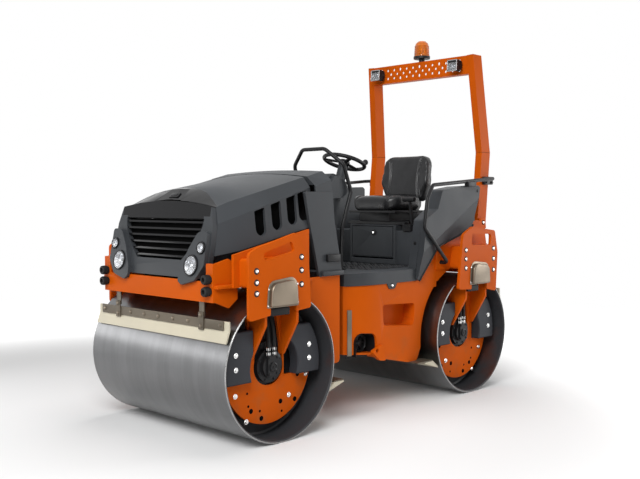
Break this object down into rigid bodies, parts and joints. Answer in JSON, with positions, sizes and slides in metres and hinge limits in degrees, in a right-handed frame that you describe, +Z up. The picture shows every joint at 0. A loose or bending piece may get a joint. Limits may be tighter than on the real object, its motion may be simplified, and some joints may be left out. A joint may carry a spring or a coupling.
{
  "type": "tandem road roller",
  "caption": "Articulated tandem road roller with smooth steel drums, an open operator's platform, a rollover frame and an engine hood that tips up.",
  "frame": {"origin": "on the ground under the steering pivot, midway between the axles", "axes": "+X forward, +Y to the machine's left, +Z up"},
  "size_m": [2.939, 1.506, 2.767],
  "materials": {
    "orange_paint": "gloss paint",
    "grey_panel": "satin, finely grained",
    "black_plastic": "satin",
    "black_metal": "satin",
    "dark_casting": "painted casting",
    "drum_steel": "turned steel",
    "zinc_plate": "passivated zinc",
    "cream_plastic": "matte",
    "rubber": "matte",
    "seat_vinyl": "grained vinyl",
    "lamp_glass": "clear",
    "amber_lens": "clear amber",
    "red_lens": "clear red"
  },
  "bodies": {
    "rear": {"rear_frame": "orange_paint", "rear_yoke_left": "orange_paint", "rear_yoke_right": "orange_paint", "rear_motors": "black_metal", "rear_weights": "dark_casting", "rear_covers": "zinc_plate", "rear_scrapers": "zinc_plate", "rear_blades": "cream_plastic", "rear_buffers": "rubber", "pivot_pin": "drum_steel", "lock_bar": "zinc_plate", "platform": "grey_panel", "console": "grey_panel", "handrail": "black_metal", "seat_box": "grey_panel", "seat_slide": "black_metal", "seat_cushion": "seat_vinyl", "seat_back": "seat_vinyl", "travel_lever": "black_metal", "fender_left": "grey_panel", "fender_right": "grey_panel", "rear_tank": "grey_panel", "side_rail_left": "black_metal", "side_rail_right": "black_metal", "rops_post_left": "orange_paint", "rops_post_right": "orange_paint", "rops_beam": "orange_paint", "work_lamps": "black_plastic", "beacon_base": "black_plastic", "beacon_lens": "amber_lens", "tail_lamps": "red_lens"},
    "center": {"joint_block": "dark_casting"},
    "front": {"front_frame": "orange_paint", "front_yoke_left": "orange_paint", "front_yoke_right": "orange_paint", "front_motors": "black_metal", "front_weights": "dark_casting", "front_covers": "zinc_plate", "front_scrapers": "zinc_plate", "front_blades": "cream_plastic", "front_buffers": "rubber", "engine": "dark_casting", "cowl": "grey_panel", "hood_hinge": "black_metal"},
    "hood": {"hood": "grey_panel", "nose_panel": "grey_panel", "grille": "black_plastic", "headlamps": "lamp_glass"},
    "front_drum": {"front_drum": "drum_steel"},
    "rear_drum": {"rear_drum": "drum_steel"},
    "steering_wheel": {"steering_wheel": "black_plastic"},
    "locker_door": {"locker_door": "grey_panel"}
  },
  "joints": [
    {"name": "steering", "type": "hinge", "parent": "rear", "child": "center", "pos_m": [0, 0, 0.6], "axis": [0, 0, 1], "range_deg": [-32, 32]},
    {"name": "frame_roll", "type": "hinge", "parent": "center", "child": "front", "pos_m": [0.2, 0, 0.6], "axis": [1, 0, 0], "range_deg": [-8, 8]},
    {"name": "front_drum_spin", "type": "hinge", "parent": "front", "child": "front_drum", "pos_m": [0.9925, 0, 0.45], "axis": [0, 1, 0], "continuous": true},
    {"name": "rear_drum_spin", "type": "hinge", "parent": "rear", "child": "rear_drum", "pos_m": [-0.9925, 0, 0.45], "axis": [0, 1, 0], "continuous": true},
    {"name": "hood_open", "type": "hinge", "parent": "front", "child": "hood", "pos_m": [0.725, 0, 1.57828], "axis": [0, -1, 0], "range_deg": [0, 60]},
    {"name": "wheel_turn", "type": "hinge", "parent": "rear", "child": "steering_wheel", "pos_m": [-0.298, 0, 1.745], "axis": [-0.3354, 0, 0.9421], "continuous": true},
    {"name": "locker_open", "type": "hinge", "parent": "rear", "child": "locker_door", "pos_m": [-0.629, 0, 1.023], "axis": [0, 1, 0], "range_deg": [0, 80]}
  ]
}
